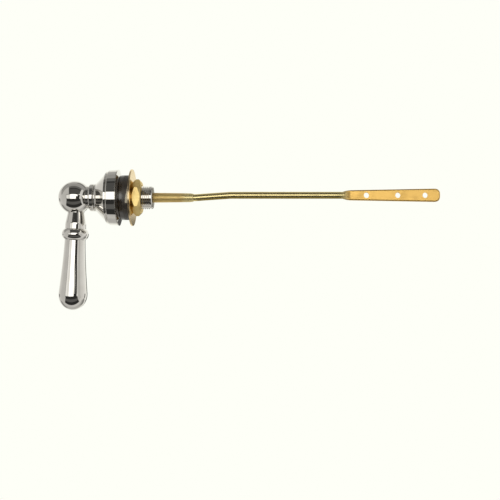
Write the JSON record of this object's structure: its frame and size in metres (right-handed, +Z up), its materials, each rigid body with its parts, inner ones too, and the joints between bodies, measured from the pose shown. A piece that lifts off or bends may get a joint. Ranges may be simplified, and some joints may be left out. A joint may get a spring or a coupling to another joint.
{
  "type": "cistern lever",
  "caption": "Toilet cistern lever: chromed ball and teardrop handle on a bell escutcheon, threaded shank with gasket, washer and lock nut, and a brass arm with chain holes in a flattened end.",
  "frame": {"origin": "on the shank's axis at the back face of the escutcheon, where the tank wall begins", "axes": "+X along the shank from the handle to the arm, +Z up, with the grip hanging towards -Z; the blade's holes run along Y"},
  "size_m": [0.2515, 0.0374, 0.0928],
  "materials": {
    "chrome_plate": "polished chrome plate on brass",
    "bright_brass": "turned and stamped bright brass",
    "drawn_brass": "drawn and pressed brass, slightly dull",
    "seal_rubber": "black moulded rubber",
    "screw_steel": "plain steel"
  },
  "bodies": {
    "shank": {"escutcheon": "chrome_plate", "gasket": "seal_rubber"},
    "washer": {"washer": "bright_brass"},
    "lock_nut": {"lock_nut": "bright_brass"},
    "lever": {"ball_hub": "chrome_plate", "grip": "chrome_plate", "set_screw": "screw_steel", "spindle": "drawn_brass", "arm": "drawn_brass"}
  },
  "joints": [
    {"name": "lever_turn", "type": "hinge", "parent": "shank", "child": "lever", "pos_m": [0, 0, 0], "axis": [1, 0, 0], "range_deg": [-45, 45]},
    {"name": "washer_slide", "type": "slide", "parent": "shank", "child": "washer", "axis": [1, 0, 0], "range_m": [0, 0.0071]},
    {"name": "nut_turn", "type": "hinge", "parent": "washer", "child": "lock_nut", "pos_m": [0.0079, 0, 0], "axis": [1, 0, 0], "range_deg": [-1980, 0]}
  ],
  "couplings": [
    {"joint": "washer_slide", "follows": "nut_turn", "m_per_rad": -0.00020213}
  ]
}
